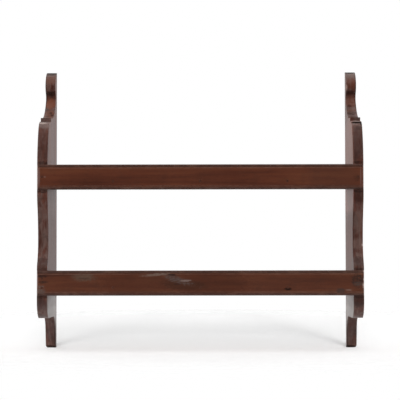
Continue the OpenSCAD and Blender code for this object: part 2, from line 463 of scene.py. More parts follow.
class NodeBench:
    """Builds the node tree of one material."""

    def __init__(self, name: str) -> None:
        """Starts a material with a Principled shader.

        Args:
            name: Name of the material.
        """
        self.material = bpy.data.materials.new(name)
        self.material.use_nodes = True
        self.tree = self.material.node_tree
        self.tree.nodes.clear()
        self.surface = self.node("ShaderNodeBsdfPrincipled")
        self.sink = self.node("ShaderNodeOutputMaterial")
        self.tree.links.new(self.surface.outputs[0], self.sink.inputs["Surface"])

    def node(self, kind: str, settings: Optional[Dict[str, object]] = None,
             sockets: Optional[Dict[Union[str, int], object]] = None) -> bpy.types.Node:
        """Adds any node.

        Args:
            kind: Blender's node type.
            settings: Properties, which are set first; "stops" sets a colour ramp's stops.
            sockets: Values or links of the input sockets, by name or number.

        Returns:
            The node.
        """
        made = self.tree.nodes.new(kind)
        for key, value in (settings or {}).items():
            if key == "stops":
                self._set_stops(made.color_ramp, value)
            else:
                setattr(made, key, value)
        for key, value in (sockets or {}).items():
            self._supply(made.inputs[key], value)
        return made

    def _supply(self, target: bpy.types.NodeSocket, value: object) -> None:
        """Sets an input socket to a value or links it to an output.

        Args:
            target: The input socket.
            value: A plain value, an output socket or a Value.
        """
        source = value.out if isinstance(value, Value) else value
        if isinstance(source, bpy.types.NodeSocket):
            self.tree.links.new(source, target)
        else:
            target.default_value = source

    @staticmethod
    def _set_stops(ramp: bpy.types.ColorRamp, stops: Sequence[Tuple[float, Colour]]) -> None:
        """Sets the stops of a colour ramp.

        Args:
            ramp: The ramp.
            stops: Place and colour of each stop.
        """
        while len(ramp.elements) < len(stops):
            ramp.elements.new(0.5)
        for element, (place, colour) in zip(ramp.elements, stops):
            element.position = place
            element.color = (*colour, 1.0)

    def place(self, scale: Sequence[float] = (1.0, 1.0, 1.0), shift: Sequence[float] = (0.0, 0.0, 0.0),
              kind: str = "POINT", turn: Sequence[float] = (0.0, 0.0, 0.0)) -> bpy.types.NodeSocket:
        """Maps the Object coordinates.

        Args:
            scale: Scale along each axis.
            shift: Offset along each axis.
            kind: Blender's name of the way of mapping.
            turn: Turn about each axis, in radians.

        Returns:
            The coordinates, scaled, turned and moved.
        """
        here = self.node("ShaderNodeTexCoord").outputs["Object"]
        made = self.node("ShaderNodeMapping", {"vector_type": kind}, {
            "Vector": here, "Location": tuple(shift), "Rotation": tuple(turn), "Scale": tuple(scale)})
        return made.outputs["Vector"]

    def noise(self, where: bpy.types.NodeSocket, detail: float = 3.0, rough: float = 0.5,
              distortion: float = 0.0) -> Value:
        """Returns a noise value from 0 to 1 at a place."""
        made = self.node("ShaderNodeTexNoise", {"noise_dimensions": "3D"}, {
            "Vector": where, "Scale": 1.0, "Detail": detail, "Roughness": rough, "Distortion": distortion})
        return Value(self, made.outputs[0])

    def rays(self, *kinds: str) -> Value:
        """Tells kinds of light rays apart.

        Args:
            kinds: Names of the Light Path node's outputs.

        Returns:
            A value that is 1 for rays of these kinds and 0 for all others.
        """
        path = self.node("ShaderNodeLightPath")
        found = Value(self, path.outputs[kinds[0]])
        for kind in kinds[1:]:
            found = found.larger(Value(self, path.outputs[kind]))
        return found

    def split(self) -> Tuple[Value, Value, Value]:
        """Returns the three Object coordinates."""
        here = self.node("ShaderNodeTexCoord").outputs["Object"]
        made = self.node("ShaderNodeSeparateXYZ", {}, {0: here})
        return Value(self, made.outputs[0]), Value(self, made.outputs[1]), Value(self, made.outputs[2])

    def ramp(self, value: Value, stops: Sequence[Tuple[float, Colour]]) -> bpy.types.NodeSocket:
        """Returns the colour that a ramp gives for a value."""
        return self.node("ShaderNodeValToRGB", {"stops": stops}, {0: value}).outputs[0]

    def mix(self, factor: Operand, first: object, second: object) -> bpy.types.NodeSocket:
        """Mixes two colours.

        Args:
            factor: Part of the second colour, from 0 to 1.
            first: The first colour, a socket or an RGB triple.
            second: The second colour, the same.

        Returns:
            The mixed colour.
        """
        colours = [(*c, 1.0) if isinstance(c, tuple) else c for c in (first, second)]
        made = self.node("ShaderNodeMix", {"data_type": "RGBA"}, {0: factor, 6: colours[0], 7: colours[1]})
        return made.outputs[2]

    def bump(self, height: Value, strength: float, distance: float) -> bpy.types.NodeSocket:
        """Returns the normal of a surface raised by a height."""
        made = self.node("ShaderNodeBump", {}, {"Strength": strength, "Distance": distance, "Height": height})
        return made.outputs["Normal"]

    def dull(self, cover: Value, colour: bpy.types.NodeSocket) -> None:
        """Lays a matt film over the polish.

        Args:
            cover: How far the film hides the polish, from 0 to 1.
            colour: Its colour.
        """
        film = self.node("ShaderNodeBsdfPrincipled", {}, {
            "Base Color": colour, "Roughness": 1.0, "Specular IOR Level": 0.0})
        both = self.node("ShaderNodeMixShader", {}, {
            0: cover, 1: self.surface.outputs[0], 2: film.outputs[0]})
        self.tree.links.new(both.outputs[0], self.sink.inputs["Surface"])

    def feed(self, sockets: Dict[str, object]) -> None:
        """Sets or links inputs of the Principled shader."""
        for key, value in sockets.items():
            self._supply(self.surface.inputs[key], value)


@dataclass(frozen=True)
class Mark:
    """A stain, scuff or worn spot on the wood, and in places painted shade, a painted highlight or a painted
    reflection.

    Args:
        at: Its middle as (x, depth, height), in millimetres from the centre line, the wall and the toes.
        reach: Half its size in the same three directions.
        colour: Linear colour of the mark.
        strength: How far it covers the wood, from 0 to 1.
        slope: Angle of its long direction above level, in degrees, on a rail's front.
        ragged: How uneven its border is.
        broken: How far it is broken up inside, from 0 to 1.
        matt: How far it takes the shine off, from 0 to 1.
        polish: How far it lowers the roughness of the polish.
    """

    at: Tuple[float, float, float]
    reach: Tuple[float, float, float]
    colour: Colour
    strength: float = 0.8
    slope: float = 0.0
    ragged: float = 1.0
    broken: float = 0.0
    matt: float = 0.7
    polish: float = 0.0

    def cover(self, bench: NodeBench, noise: Value, crumbs: Value) -> Value:
        """Works out where the mark is.

        Args:
            bench: Bench that the nodes are added to.
            noise: Value from 0 to 1 that makes its border uneven.
            crumbs: Value from 0 to 1 that breaks it up inside.

        Returns:
            How far the mark covers each point, from 0 to 1.
        """
        middle = (self.at[0] * MM, -self.at[1] * MM, (self.at[2] - HANG_Z) * MM)
        size = tuple(r * MM for r in self.reach)
        turned = bench.place(size, middle, "TEXTURE", (0.0, -math.radians(self.slope), 0.0))
        far = Value(bench, bench.node("ShaderNodeVectorMath", {"operation": "LENGTH"},
                                      {0: turned}).outputs["Value"])
        whole = (far + (noise - 0.5) * self.ragged).between(1.15, 0.6) * self.strength
        return whole * (crumbs * self.broken + (1.0 - self.broken))


@dataclass(frozen=True)
class MouldedEdges:
    """Dirt on the beads of a rail, and wear together with a painted highlight on the lips beside them.

    Args:
        middle: Height of the rail's middle above the toes, in millimetres.
        lip: Distance of the worn lips from the middle.
        bead: Distance at which the dirt of the beads begins.
        lip_wear_and_highlight: Colour of the lips, worn and with a painted highlight.
        dirt: Colour of the beads.
    """

    middle: float
    lip: float = 16.6
    bead: float = 18.2
    lip_wear_and_highlight: Colour = (0.135, 0.062, 0.042)
    dirt: Colour = (0.052, 0.024, 0.018)


@dataclass(frozen=True)
class Mahogany:
    """Old polished mahogany.

    Args:
        name: Name of the material.
        grain: Direction of the grain.
        seed: Offset that gives each board its own figure.
        dark: Colour of the dark streaks.
        middle: Colour of most of the wood.
        light: Colour of the light streaks.
        worn: Colour of the wood where the polish has gone from an arris.
        grime: Colour of old dirt.
        haze: Colour of the bloom.
        gloss: Roughness of the polish.
        mottle: Strength of the uneven patches.
        wear: Strength of the wear along the arrises.
        soil: Strength of the dirt along them.
        bloom: Strength of the grey bloom, most of it on a side's narrow front and back.
        edges: Its moulded edges, if it has them.
        marks: Marks on it.
    """

    name: str
    grain: Axis
    seed: Tuple[float, float, float] = (0.0, 0.0, 0.0)
    dark: Colour = (0.052, 0.0155, 0.0085)
    middle: Colour = (0.083, 0.0245, 0.0120)
    light: Colour = (0.108, 0.036, 0.0165)
    worn: Colour = (0.20, 0.105, 0.065)
    grime: Colour = (0.020, 0.011, 0.008)
    haze: Colour = (0.128, 0.082, 0.070)
    gloss: float = 0.38
    mottle: float = 0.4
    wear: float = 0.6
    soil: float = 0.4
    bloom: float = 0.0
    edges: Optional[MouldedEdges] = None
    marks: Tuple[Mark, ...] = field(default_factory=tuple)

    def _figure(self, bench: NodeBench, along: float, across: float, detail: float, rough: float,
                distortion: float = 0.0) -> Value:
        """Adds a noise that follows the grain.

        Args:
            bench: Bench that the nodes are added to.
            along: Scale along the grain.
            across: Scale across it.
            detail: Detail of the noise.
            rough: Roughness of the noise.
            distortion: How far the noise is bent.

        Returns:
            The noise, from 0 to 1.
        """
        scale = [across, across, across]
        scale[self.grain.value] = along
        return bench.noise(bench.place(scale, self.seed), detail, rough, distortion)

    def _crumbs(self, bench: NodeBench, level: float, upright: float, detail: float, rough: float) -> Value:
        """Returns a noise that the grain doesn't stretch, with a level and an upright scale."""
        return bench.noise(bench.place((level, level, upright), self.seed), detail, rough)

    def material(self) -> bpy.types.Material:
        """Builds the material.

        Returns:
            A material whose streaks, pores, polish and wear follow the Object coordinates.
        """
        bench = NodeBench(self.name)
        streaks = self._figure(bench, 2.2, 42.0, 4.0, 0.55, 0.6)
        ribbons = self._figure(bench, 7.0, 190.0, 3.0, 0.6, 0.3)
        clouds = self._figure(bench, 9.0, 16.0, 3.0, 0.55)
        patches = self._figure(bench, 38.0, 60.0, 4.0, 0.6, 0.5)
        pores = self._figure(bench, 130.0, 2100.0, 1.0, 0.5)
        fine = self._figure(bench, 24.0, 900.0, 2.0, 0.6)
        rub = self._crumbs(bench, 120.0, 120.0, 3.0, 0.6)
        tone = streaks * 0.5 + ribbons * 0.28 + clouds * 0.22
        colour = bench.ramp(tone, [(0.38, self.dark), (0.5, self.middle), (0.62, self.light)])
        pore = pores.between(0.60, 0.72)
        colour = bench.mix(pore * 0.5, colour, tuple(0.4 * c for c in self.dark))
        colour = bench.mix(fine.between(0.52, 0.78) * 0.2, colour, self.light)
        dull = patches.between(0.50, 0.68) * self.mottle
        if self.bloom > 0.0:
            x, _, _ = bench.split()
            off_face = (abs(abs(x) - (SHELF_W - SIDE_T) / 2 * MM)).between(9.45 * MM, 8.6 * MM)
            film = self._figure(bench, 15.0, 190.0, 3.0, 0.6, 0.2)
            cloud = self._crumbs(bench, 34.0, 34.0, 2.0, 0.55)
            cover = (film * 0.7 + cloud * 0.3).between(0.42, 0.60) * self.bloom
            colour = bench.mix(cover * (off_face * 0.8 + 0.2), colour, self.haze)
            dull = dull * (off_face * 0.6 + 0.4)
        colour = bench.mix(dull, colour, self.grime)
        rough = self.gloss + (clouds - 0.5) * 0.14 + pore * 0.15 + dull * 0.1
        if self.edges is not None:
            _, _, z = bench.split()
            far = abs(z - (self.edges.middle - HANG_Z) * MM)
            # The lips' lighter colour is wear together with a painted highlight where they catch the light.
            lip = 1.0 - (abs(far - self.edges.lip * MM)).between(0.3 * MM, 1.5 * MM)
            colour = bench.mix(lip * (0.35 + rub.between(0.35, 0.65) * 0.5), colour, self.edges.lip_wear_and_highlight)
            bead = far.between((self.edges.bead - 0.6) * MM, (self.edges.bead + 0.6) * MM)
            colour = bench.mix(bead * 0.75, colour, self.edges.dirt)
        edge = Value(bench, bench.node("ShaderNodeAttribute", {"attribute_name": "arris"}).outputs["Fac"])
        turns = self._crumbs(bench, 45.0, 45.0, 3.0, 0.6)
        worn = edge * turns.between(0.50, 0.64) * self.wear
        soiled = edge * turns.between(0.56, 0.44) * self.soil
        colour = bench.mix(worn, colour, self.worn)
        colour = bench.mix(soiled, colour, self.grime)
        rough = rough + edge * 0.2
        matt = soiled * 0.8
        ragged = self._crumbs(bench, 260.0, 420.0, 3.0, 0.65)
        crumbs = self._crumbs(bench, 210.0, 460.0, 3.0, 0.65).between(0.42, 0.56)
        for mark in self.marks:
            cover = mark.cover(bench, ragged, crumbs)
            colour = bench.mix(cover, colour, mark.colour)
            matt = matt.larger(cover * mark.matt)
            if mark.polish > 0.0:
                rough = rough - cover * mark.polish
        height = pores * -0.5 + fine * 0.35 + rub * edge * 0.6
        ripple = self._figure(bench, 14.0, 30.0, 1.0, 0.5)
        normal = bench.bump(height + ripple * 2.0, 0.2, 0.25 * MM)
        bench.feed({"Base Color": colour, "Roughness": rough, "Normal": normal,
                    "Specular IOR Level": 0.4})
        bench.dull(matt, colour)
        return bench.material


@dataclass(frozen=True)
class AgedBrass:
    """Tarnished brass of the keyhole plates and their screws."""

    name: str = "aged_brass"

    def material(self) -> bpy.types.Material:
        """Builds the material.

        Returns:
            The material.
        """
        bench = NodeBench(self.name)
        cloud = bench.noise(bench.place((130.0, 130.0, 130.0)), 4.0, 0.6)
        brushed = bench.noise(bench.place((1800.0, 1800.0, 40.0)), 2.0, 0.5)
        dull = cloud.between(0.42, 0.66)
        colour = bench.mix(dull, (0.42, 0.28, 0.10), (0.13, 0.085, 0.04))
        bench.feed({"Base Color": colour, "Metallic": 1.0,
                    "Roughness": 0.3 + dull * 0.3 + brushed * 0.1,
                    "Normal": bench.bump(brushed + cloud * 0.5, 0.15, 0.05 * MM)})
        return bench.material


@dataclass(frozen=True)
class DarkIron:
    """Dark iron of the cut nails."""

    name: str = "dark_iron"

    def material(self) -> bpy.types.Material:
        """Builds the material.

        Returns:
            The material.
        """
        bench = NodeBench(self.name)
        rust = bench.noise(bench.place((700.0, 700.0, 300.0)), 4.0, 0.65)
        colour = bench.ramp(rust, [(0.35, (0.045, 0.04, 0.037)), (0.6, (0.075, 0.055, 0.045)),
                                   (0.75, (0.11, 0.05, 0.03))])
        bench.feed({"Base Color": colour, "Metallic": 0.8, "Roughness": 0.45 + rust * 0.3,
                    "Normal": bench.bump(rust, 0.3, 0.1 * MM)})
        return bench.material


@dataclass(frozen=True)
class StoppingWax:
    """Dark wax stopping over the nail heads."""

    name: str = "stopping_wax"

    def material(self) -> bpy.types.Material:
        """Builds the material.

        Returns:
            The material.
        """
        bench = NodeBench(self.name)
        crumbs = bench.noise(bench.place((900.0, 900.0, 900.0)), 4.0, 0.6)
        colour = bench.ramp(crumbs, [(0.35, (0.045, 0.016, 0.010)), (0.65, (0.080, 0.028, 0.016))])
        bench.feed({"Base Color": colour, "Roughness": 0.5 + crumbs * 0.25,
                    "Specular IOR Level": 0.3, "Normal": bench.bump(crumbs, 0.5, 0.15 * MM)})
        return bench.material


def cover_with(piece: bpy.types.Object, material: bpy.types.Material) -> None:
    """Gives a piece its only material."""
    piece.data.materials.clear()
    piece.data.materials.append(material)


def stand_in(piece: bpy.types.Object, node: str, material: bpy.types.Material) -> None:
    """Shades and covers a piece and puts it in place of its CAD node.

    Args:
        piece: The piece.
        node: The node.
        material: Its material.
    """
    smooth(piece)
    cover_with(piece, material)
    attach(piece, "root")
    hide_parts(node)


# The shelf

HANG_Z = 496.0
SHELF_W = 600.0
SIDE_D = 160.0
SIDE_T = 19.0
FOOT_H = 62.0
SKIRT_H = 42.5
BAY_H = 149.0
RAIL_H = 46.0
RAIL_T = 14.0
RAIL_PROUD = 3.0
LOWER_RAIL_Z = FOOT_H + SKIRT_H
UPPER_RAIL_Z = LOWER_RAIL_Z + RAIL_H + BAY_H
RAIL_FRONT = SIDE_D + RAIL_PROUD
RAIL_BACK = RAIL_FRONT - RAIL_T
SHELF_T = 14.0
SHELF_LIFT = 8.0
HOUSING = 6.0
FIT_GAP = 0.1


def side_on_sheet(x: float) -> Sheet:
    """Returns the sheet at an X, in millimetres, with depth across and height up."""
    return Sheet(Vector((x * MM, 0.0, -HANG_Z * MM)), Vector((0.0, -1.0, 0.0)), Vector((0.0, 0.0, 1.0)))


@dataclass(frozen=True)
class SideOutline:
    """Curves of a side, from the neck down to the toe, in millimetres and degrees.

    Args:
        neck_rise: Height of the neck above the ledge that it springs from.
        lobe_r: Radius of the rounded top.
        lobe_back: How far the centre of the top is behind the back edge.
        nose_turn: Angle above level at which the top goes over into the nose.
        nose_r: Radius of the nose.
        neck_d: Depth of the neck where it is thinnest.
        neck_r: Radius of the hollow there.
        sweep_r: Radius of the long hollow from the neck down to the ledge.
        shoulder_rise: Height of the ledge above the upper rail.
        step_w: Width of the step in front of the ledge.
        step_h: Height of the step.
        ovolo_r: Radius of the round in front of the step.
        swell_d: How far the swell reaches in front of the centre of the round.
        waist_in: How far the waist draws in.
        waist_rise: Height of the waist above the lower rail.
        round_up: Part of the curve above the waist that bends outwards, from 0 to 1.
        round_low: The same part of the curve below it.
        waist_land: Length of the straight edge between a rail and the waist's curve.
        corner_r: Radius of the lower front corner.
        cove_r: Radius of the cove over the foot.
        foot_d: Depth of the foot below the cove.
        toe_d: Depth of the foot at the floor.
        toe_r: Radius of the toe.
        rail_end_r: How far below the upper rail's top the swell ends.
    """

    neck_rise: float = 97.5
    lobe_r: float = 37.0
    lobe_back: float = 5.0
    nose_turn: float = 24.0
    nose_r: float = 17.5
    neck_d: float = 19.0
    neck_r: float = 12.0
    sweep_r: float = 88.0
    shoulder_rise: float = 91.0
    step_w: float = 10.0
    step_h: float = 8.0
    ovolo_r: float = 31.0
    swell_d: float = 45.0
    waist_in: float = 18.0
    waist_rise: float = 55.0
    round_up: float = 0.3
    round_low: float = 0.2
    waist_land: float = 3.0
    corner_r: float = 34.0
    cove_r: float = 31.0
    foot_d: float = 20.0
    toe_d: float = 14.0
    toe_r: float = 5.0
    rail_end_r: float = 4.0

    def _neck(self, pen: Pen, ledge_z: float) -> None:
        """Draws the rounded top, the nose, the hollow and the sweep.

        Args:
            pen: Pen at the top of the back edge.
            ledge_z: Height of the ledge above the toes.
        """
        lobe = (-self.lobe_back, ledge_z + self.neck_rise - math.sqrt(self.lobe_r ** 2 - self.lobe_back ** 2))
        begin = math.degrees(math.acos(self.lobe_back / self.lobe_r))
        nose = on_circle(lobe, self.lobe_r - self.nose_r, self.nose_turn)
        hollow_x = self.neck_d + self.neck_r
        drop = math.sqrt((self.nose_r + self.neck_r) ** 2 - (hollow_x - nose[0]) ** 2)
        hollow = (hollow_x, nose[1] - drop)
        sweep_z = ledge_z + self.sweep_r
        reach = math.sqrt((self.sweep_r - self.neck_r) ** 2 - (sweep_z - hollow[1]) ** 2)
        sweep = (hollow_x + reach, sweep_z)
        nose_end = math.degrees(math.atan2(hollow[1] - nose[1], hollow[0] - nose[0]))
        hollow_end = 360 + math.degrees(math.atan2(hollow[1] - sweep[1], hollow[0] - sweep[0]))
        pen.arc(lobe, self.lobe_r, begin, self.nose_turn)
        pen.arc(nose, self.nose_r, self.nose_turn, nose_end)
        pen.arc(hollow, self.neck_r, nose_end + 180, hollow_end)
        pen.arc(sweep, self.sweep_r, hollow_end, 270)

    def _shoulder(self, pen: Pen, ledge_z: float) -> None:
        """Draws the step, the round below it and the long swell down to the upper rail.

        Args:
            pen: Pen at the end of the sweep.
            ledge_z: Height of the ledge above the toes.
        """
        ovolo_d = SIDE_D - self.swell_d
        pen.line((ovolo_d - self.step_w, ledge_z))
        pen.line((ovolo_d - self.step_w, ledge_z - self.step_h))
        ovolo = (ovolo_d, ledge_z - self.step_h - self.ovolo_r)
        end_z = UPPER_RAIL_Z + RAIL_H - self.rail_end_r
        fall = ovolo[1] - end_z
        swell_r = (fall ** 2 + self.swell_d ** 2 - self.ovolo_r ** 2) / (2 * (self.swell_d - self.ovolo_r))
        swell = (SIDE_D - swell_r, end_z)
        turn = math.degrees(math.atan2(ovolo[1] - swell[1], ovolo[0] - swell[0]))
        pen.arc(ovolo, self.ovolo_r, 90, turn)
        pen.arc(swell, swell_r, turn, 0)

    def _waist(self, pen: Pen) -> None:
        """Draws the waist between the rails.

        Args:
            pen: Pen at the upper rail.
        """
        waist_z = LOWER_RAIL_Z + RAIL_H + self.waist_rise
        waist_d = SIDE_D - self.waist_in
        upper = UPPER_RAIL_Z - self.waist_land
        lower = LOWER_RAIL_Z + RAIL_H + self.waist_land
        for end, part, going_in in ((upper, self.round_up, True), (lower, self.round_low, False)):
            half = abs(end - waist_z)
            radii = (half ** 2 + self.waist_in ** 2) / (2 * self.waist_in)
            convex = (SIDE_D - radii * part, end)
            concave = (waist_d + radii * (1 - part), waist_z)
            turn = math.degrees(math.asin(half / radii))
            if going_in:
                pen.arc(convex, radii * part, 0, -turn)
                pen.arc(concave, radii * (1 - part), 180 - turn, 180)
            else:
                pen.arc(concave, radii * (1 - part), 180, 180 + turn)
                pen.arc(convex, radii * part, turn, 0)

    def _foot(self, pen: Pen) -> None:
        """Draws the bottom corner, the cove and the foot.

        Args:
            pen: Pen at the lower rail.
        """
        pen.arc((SIDE_D - self.corner_r, FOOT_H + self.corner_r), self.corner_r, 0, -90)
        pen.arc((self.foot_d + self.cove_r, FOOT_H - self.cove_r), self.cove_r, 90, 180)
        pen.arc((self.toe_d - self.toe_r, self.toe_r), self.toe_r, 0, -90)

    def draw(self, name: str, x: float) -> Pen:
        """Draws the whole outline.

        Args:
            name: Name of the piece that it becomes.
            x: Place of the sheet across the shelf, in millimetres.

        Returns:
            The pen, at the end of its last curve.
        """
        pen = Pen(name, side_on_sheet(x), (0.0, 0.0))
        ledge_z = UPPER_RAIL_Z + RAIL_H + self.shoulder_rise
        pen.line((0.0, ledge_z + self.neck_rise))
        self._neck(pen, ledge_z)
        self._shoulder(pen, ledge_z)
        self._waist(pen)
        self._foot(pen)
        return pen


@dataclass(frozen=True)
class HangerBed:
    """Bed for a keyhole plate in the back of a neck, in millimetres from the hanging hole.

    Args:
        plate_w: Width of the bed.
        plate_l: Its length.
        plate_t: Its depth.
        plate_rise: How far its middle is above the hanging hole.
        pocket_r: Half the width of the pocket for the screw's head.
        pocket_depth: Depth of the pocket below the bed.
        head_travel: How far the screw's head moves up in the pocket.
    """

    plate_w: float = 14.2
    plate_l: float = 48.2
    plate_t: float = 2.0
    plate_rise: float = 3.0
    pocket_r: float = 5.0
    pocket_depth: float = 8.0
    head_travel: float = 6.8

    def cut(self, side: bpy.types.Object, x: float) -> None:
        """Cuts the bed and the pocket into the back edge of a side.

        Args:
            side: The side.
            x: Middle of the bed across the shelf.
        """
        low = self.plate_rise - self.plate_l / 2
        high = self.plate_rise + self.plate_l / 2
        half = self.plate_w / 2
        saw(side, block("bed", (x - half, -self.plate_t, low), (x + half, 1.0, high)))
        deep = self.plate_t + self.pocket_depth
        for z in (0.0, self.head_travel):
            saw(side, peg("pocket_end", (x, -deep, z), self.pocket_r, deep + 1.0))
        saw(side, block("pocket", (x - self.pocket_r, -deep, 0.0),
                        (x + self.pocket_r, 1.0, self.head_travel)))


@dataclass
class Sides:
    """The two shaped sides.

    Args:
        outline: Curves of a side.
        bed: Bed of the keyhole plate.
        arris: Greatest width of the rounding along the edges. The short edges that the saw leaves at the
            toe hold it to 0.05 or less.
    """

    outline: SideOutline = field(default_factory=SideOutline)
    bed: HangerBed = field(default_factory=HangerBed)
    arris: float = 1.8

    def _round_toe(self, side: bpy.types.Object) -> None:
        """Rounds the lower outer corner of the left foot, seen from the front.

        Args:
            side: The left side.
        """
        r = self.outline.toe_r
        sheet = Sheet(Vector((-SHELF_W / 2 * MM, 1.0 * MM, -HANG_Z * MM)), Vector((1.0, 0.0, 0.0)),
                      Vector((0.0, 0.0, 1.0)))
        pen = Pen("toe_round", sheet, (-1.0, -1.0))
        pen.line((r, -1.0))
        pen.line((r, 0.0))
        pen.arc((r, r), r, -90, -180)
        pen.line((-1.0, r))
        saw(side, pen.board(self.outline.toe_d + 2.0))

    def build(self) -> List[bpy.types.Object]:
        """Models the left side and mirrors it.

        Returns:
            The left and the right side.
        """
        inner = SHELF_W / 2 - SIDE_T
        left = self.outline.draw("left_side_board", -inner).board(SIDE_T)
        self._round_toe(left)
        ease_edges(left, self.arris)
        for rail_z in (LOWER_RAIL_Z, UPPER_RAIL_Z):
            z = rail_z - HANG_Z
            saw(left, block("notch", (-SHELF_W / 2 - 1, -RAIL_FRONT - 1, z),
                            (-inner + 1, -RAIL_BACK, z + RAIL_H)))
            saw(left, block("housing", (-inner - HOUSING, -RAIL_BACK - 1, z + SHELF_LIFT),
                            (-inner + 1, 1, z + SHELF_LIFT + SHELF_T + FIT_GAP)))
        self.bed.cut(left, -(SHELF_W - SIDE_T) / 2)
        return [left, mirrored(left, "right_side_board")]

    def dress(self, pieces: Sequence[bpy.types.Object]) -> None:
        """Finishes both sides and puts them in place of their nodes.

        Args:
            pieces: The left and the right side.
        """
        finishes = (LEFT_SIDE_WOOD, RIGHT_SIDE_WOOD)
        for piece, node, finish in zip(pieces, ("left_side", "right_side"), finishes):
            note_arrises(piece)
            stand_in(piece, node, finish.material())


@dataclass(frozen=True)
class RailMoulding:
    """Section of a rail: a flat field between two beads, each with a groove beside it.

    Args:
        bead_w: Width of a bead, in millimetres.
        quirk_w: Width of a groove.
        quirk_depth: Depth of a groove.
        lip_r: Radius of the field's worn lips.
    """

    bead_w: float = 5.5
    quirk_w: float = 1.2
    quirk_depth: float = 1.0
    lip_r: float = 0.6

    def draw(self, name: str, x: float, rail_z: float) -> Pen:
        """Draws the section, from the back of the underside forwards and up.

        Args:
            name: Name of the rail.
            x: Place of the sheet across the shelf.
            rail_z: Underside of the rail above the toes.

        Returns:
            The pen at the back of the top.
        """
        bead = self.bead_w / 2
        floor = RAIL_FRONT - self.quirk_depth
        top = rail_z + RAIL_H
        pen = Pen(name, side_on_sheet(x), (RAIL_BACK, rail_z))
        turn = math.degrees(math.acos(1 - self.quirk_depth / bead))
        pen.arc((RAIL_FRONT - bead, rail_z + bead), bead, -90, turn)
        pen.line((floor, rail_z + self.bead_w + self.quirk_w))
        lip = self.lip_r
        low, high = rail_z + self.bead_w + self.quirk_w, top - self.bead_w - self.quirk_w
        pen.arc((RAIL_FRONT - lip, low + lip), lip, -90, 0)
        pen.arc((RAIL_FRONT - lip, high - lip), lip, 0, 90)
        pen.line((floor, high))
        pen.arc((RAIL_FRONT - bead, top - bead), bead, -turn, 90)
        pen.line((RAIL_BACK, top))
        return pen


@dataclass
class Rail:
    """A front rail with its nail recesses.

    Args:
        node: CAD node that it stands for.
        z: Underside above the toes.
        end_nails: Heights of the nails at each end, above the underside.
        finish: Its wood.
        moulding: Its section.
        end_r: Radius of the upright corners at its ends.
        face_pitch: Distance between the nails along the rail.
        recess_r: Radius of a nail's recess.
        recess_depth: Its depth.
        cuts: Angles at which an upright corner is planed, in degrees from the front.
    """

    node: str
    z: float
    end_nails: Tuple[float, ...]
    finish: Mahogany
    moulding: RailMoulding = field(default_factory=RailMoulding)
    end_r: float = 4.0
    face_pitch: float = 160.0
    recess_r: float = 2.4
    recess_depth: float = 2.2
    cuts: Tuple[int, ...] = (15, 30, 45, 60, 75)

    def nails(self) -> List[Point2]:
        """Returns the places of the nails as (x, height above the rail's underside)."""
        ends = [(side * (SHELF_W - SIDE_T) / 2, z) for side in (-1, 1) for z in self.end_nails]
        face = [(i * self.face_pitch, SHELF_LIFT + SHELF_T / 2) for i in (-1, 0, 1)]
        return ends + face

    def build(self) -> bpy.types.Object:
        """Models the rail.

        Returns:
            The rail, with its recesses.
        """
        half = SHELF_W / 2
        rail = self.moulding.draw(f"{self.node}_board", half, self.z).board(SHELF_W)
        for side in (-1, 1):
            for angle in self.cuts:
                turn = math.radians(angle)
                way = Vector((side * math.sin(turn), -math.cos(turn), 0.0))
                middle = Vector((side * (half - self.end_r), -RAIL_FRONT + self.end_r, 0.0))
                plane_off(rail, (middle + way * self.end_r) * MM, way)
        for x, up in self.nails():
            z = self.z + up - HANG_Z
            saw(rail, peg("recess", (x, -RAIL_FRONT - 1, z), self.recess_r, self.recess_depth + 1))
        return rail

    def dress(self, piece: bpy.types.Object) -> None:
        """Finishes the rail and puts it in place of its node."""
        note_arrises(piece)
        stand_in(piece, self.node, self.finish.material())


@dataclass
class Shelf:
    """A shelf board in its housings.

    Args:
        node: CAD node that it stands for.
        z: Underside above the toes.
        seed: Offset of its figure.
        arris: Width of the rounding along its back edges.
    """

    node: str
    z: float
    seed: Tuple[float, float, float]
    arris: float = 1.0

    def build(self) -> bpy.types.Object:
        """Models the board.

        Returns:
            The board, with its edges eased.
        """
        reach = SHELF_W / 2 - SIDE_T + HOUSING - FIT_GAP
        z = self.z - HANG_Z
        board = block(f"{self.node}_board", (-reach, -RAIL_BACK, z), (reach, 0.0, z + SHELF_T))
        ease_edges(board, self.arris, 3)
        return board

    def dress(self, piece: bpy.types.Object) -> None:
        """Finishes the board and puts it in place of its node.

        Args:
            piece: The board.
        """
        note_arrises(piece)
        finish = Mahogany(f"{self.node}_mahogany", Axis.X, self.seed, gloss=0.5,
                          dark=(0.05, 0.016, 0.008), middle=(0.10, 0.033, 0.015),
                          light=(0.15, 0.055, 0.025))
        stand_in(piece, self.node, finish.material())


